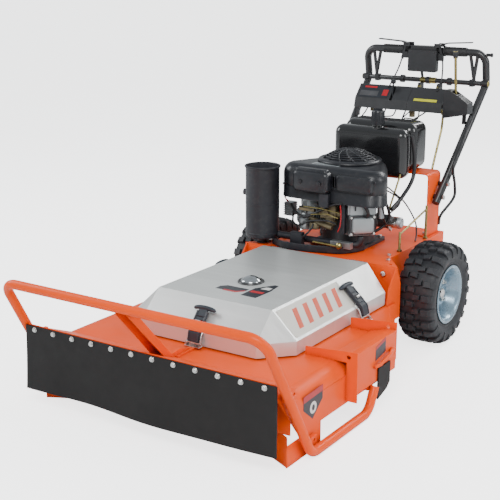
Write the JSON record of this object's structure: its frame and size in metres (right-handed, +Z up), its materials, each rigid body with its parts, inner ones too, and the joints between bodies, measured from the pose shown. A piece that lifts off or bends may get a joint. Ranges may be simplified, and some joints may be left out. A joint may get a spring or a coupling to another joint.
{
  "type": "walk-behind brush mower",
  "caption": "Self-propelled walk-behind brush mower with a hinged deck hood, bumper guard, upright engine, big drive wheels, fuel tank and handlebar controls.",
  "frame": {"origin": "on the ground under the middle of the machine's bounding box", "axes": "+Z up, +Y back to the operator, +X the side with the discharge chute"},
  "size_m": [1.07, 2.1492, 1.126],
  "materials": {
    "black_paint": "satin black powder coat",
    "orange_paint": "gloss orange powder coat",
    "rim_paint": "silver-grey wheel paint",
    "muffler_paint": "heat-proof matt black paint",
    "filter_paint": "gloss black paint on pressed steel",
    "hood_sheet": "brushed bare sheet, lightly dulled",
    "flap_rubber": "matt black sheet rubber",
    "belt_rubber": "fabric-faced black rubber",
    "grip_rubber": "matt black moulded grip",
    "hose_rubber": "smooth black hose and cable sheath",
    "tyre_rubber": "new black tyre with bar lugs",
    "zinc": "bright zinc plate",
    "yellow_zinc": "yellow zinc plate",
    "tool_steel": "ground and oiled steel",
    "bearing_steel": "polished bearing steel",
    "cast_iron": "painted casting",
    "cast_aluminium": "sand-cast grey aluminium",
    "tan_casting": "die-cast body with tan passivation",
    "black_plastic": "grained black moulding",
    "tank_plastic": "rotationally moulded black plastic"
  },
  "bodies": {
    "mower": {"air_cleaner": "black_plastic", "cables": "hose_rubber", "carburettor": "tan_casting", "chassis": "orange_paint", "chute_flap": "flap_rubber", "chute_hoops": "orange_paint", "console": "black_paint", "control_box": "black_paint", "cylinders": "cast_aluminium", "deck_shell": "orange_paint", "discharge_chute": "orange_paint", "drive_belt": "belt_rubber", "engine_block": "cast_aluminium", "engine_shroud": "black_plastic", "exhaust_pipe": "black_paint", "fan_cover": "black_plastic", "flap_bolts": "zinc", "frame_bolts": "zinc", "front_flap": "flap_rubber", "fuel_tank": "tank_plastic", "grips": "grip_rubber", "guard_bar": "orange_paint", "handlebar": "black_paint", "hood_hinges": "zinc", "idler_pivot": "orange_paint", "latch_clevises": "orange_paint", "linkage": "zinc", "muffler": "muffler_paint", "oil_filter": "filter_paint", "spindle_bearings": "bearing_steel", "spindle_housing": "cast_iron", "starter_motor": "black_paint", "tail_arch": "orange_paint", "transaxle": "cast_aluminium", "valve_covers": "cast_aluminium"},
    "wheel_left": {"axle_left": "zinc", "rim_left": "rim_paint", "tyre_left": "tyre_rubber"},
    "wheel_right": {"axle_right": "zinc", "rim_right": "rim_paint", "tyre_right": "tyre_rubber"},
    "blade_rotor": {"blade": "tool_steel", "blade_carrier": "black_paint", "spindle_shaft": "tool_steel", "spindle_pulley": "zinc"},
    "crank_rotor": {"crankshaft": "tool_steel", "engine_pulley": "zinc"},
    "idler_swing": {"idler_arm": "zinc"},
    "idler_wheel": {"idler_pulley": "zinc"},
    "hood_lid": {"hood": "hood_sheet", "hood_dome": "black_plastic"},
    "latch_front_strap": {"latch_front": "flap_rubber"},
    "latch_left_strap": {"latch_left": "flap_rubber"},
    "latch_right_strap": {"latch_right": "flap_rubber"},
    "hand_lever_left": {"lever_left": "black_paint"},
    "hand_lever_right": {"lever_right": "black_paint"},
    "shift_handle": {"shift_lever": "yellow_zinc"},
    "shift_rod": {"shift_link": "zinc"},
    "cap": {"fuel_cap": "black_plastic"},
    "throttle": {"throttle_lever": "black_plastic"}
  },
  "joints": [
    {"name": "wheel_left_spin", "type": "hinge", "parent": "mower", "child": "wheel_left", "pos_m": [0.384, 0.3734, 0.203], "axis": [1, 0, 0], "continuous": true},
    {"name": "wheel_right_spin", "type": "hinge", "parent": "mower", "child": "wheel_right", "pos_m": [-0.384, 0.3734, 0.203], "axis": [1, 0, 0], "continuous": true},
    {"name": "blade_spin", "type": "hinge", "parent": "mower", "child": "blade_rotor", "pos_m": [0, -0.3566, 0.2], "axis": [0, 0, 1], "continuous": true},
    {"name": "crank_spin", "type": "hinge", "parent": "mower", "child": "crank_rotor", "pos_m": [0, 0.3634, 0.4], "axis": [0, 0, 1], "continuous": true},
    {"name": "idler_tension", "type": "hinge", "parent": "mower", "child": "idler_swing", "pos_m": [-0.215, -0.0666, 0.29], "axis": [0, 0, 1], "range_deg": [-12, 0]},
    {"name": "idler_spin", "type": "hinge", "parent": "idler_swing", "child": "idler_wheel", "pos_m": [-0.09753, -0.1266, 0.3], "axis": [0, 0, 1], "continuous": true},
    {"name": "hood_open", "type": "hinge", "parent": "mower", "child": "hood_lid", "pos_m": [0, 0.0964, 0.357], "axis": [1, 0, 0], "range_deg": [-60, 0]},
    {"name": "latch_front_swing", "type": "hinge", "parent": "hood_lid", "child": "latch_front_strap", "pos_m": [0, -0.6386, 0.345], "axis": [1, 0, 0], "range_deg": [-95, 0]},
    {"name": "latch_left_swing", "type": "hinge", "parent": "hood_lid", "child": "latch_left_strap", "pos_m": [0.272, -0.1466, 0.346], "axis": [0, 1, 0], "range_deg": [-95, 0]},
    {"name": "latch_right_swing", "type": "hinge", "parent": "hood_lid", "child": "latch_right_strap", "pos_m": [-0.272, -0.1466, 0.346], "axis": [0, 1, 0], "range_deg": [0, 95]},
    {"name": "hand_lever_left_squeeze", "type": "hinge", "parent": "mower", "child": "hand_lever_left", "pos_m": [0.08, 1.0284, 1.106], "axis": [0, 1, 0], "range_deg": [0, 8]},
    {"name": "hand_lever_right_squeeze", "type": "hinge", "parent": "mower", "child": "hand_lever_right", "pos_m": [-0.08, 1.0284, 1.106], "axis": [0, 1, 0], "range_deg": [-8, 0]},
    {"name": "shift_lever_swing", "type": "hinge", "parent": "mower", "child": "shift_handle", "pos_m": [0.22, 0.8884, 0.89], "axis": [1, 0, 0], "range_deg": [-10, 10]},
    {"name": "shift_link_slide", "type": "slide", "parent": "mower", "child": "shift_rod", "axis": [0, 0, 1], "range_m": [-0.012, 0.012]},
    {"name": "fuel_cap_turn", "type": "hinge", "parent": "mower", "child": "cap", "pos_m": [0.02, 0.5614, 0.85], "axis": [0, 0, 1], "range_deg": [0, 270]},
    {"name": "throttle_swing", "type": "hinge", "parent": "mower", "child": "throttle", "pos_m": [-0.09, 0.9184, 0.872], "axis": [1, 0, 0], "range_deg": [-20, 20]}
  ],
  "couplings": [
    {"joint": "crank_spin", "follows": "blade_spin", "ratio": 1.2727},
    {"joint": "idler_spin", "follows": "blade_spin", "ratio": -2.6923},
    {"joint": "shift_link_slide", "follows": "shift_lever_swing", "m_per_rad": 0.06}
  ]
}
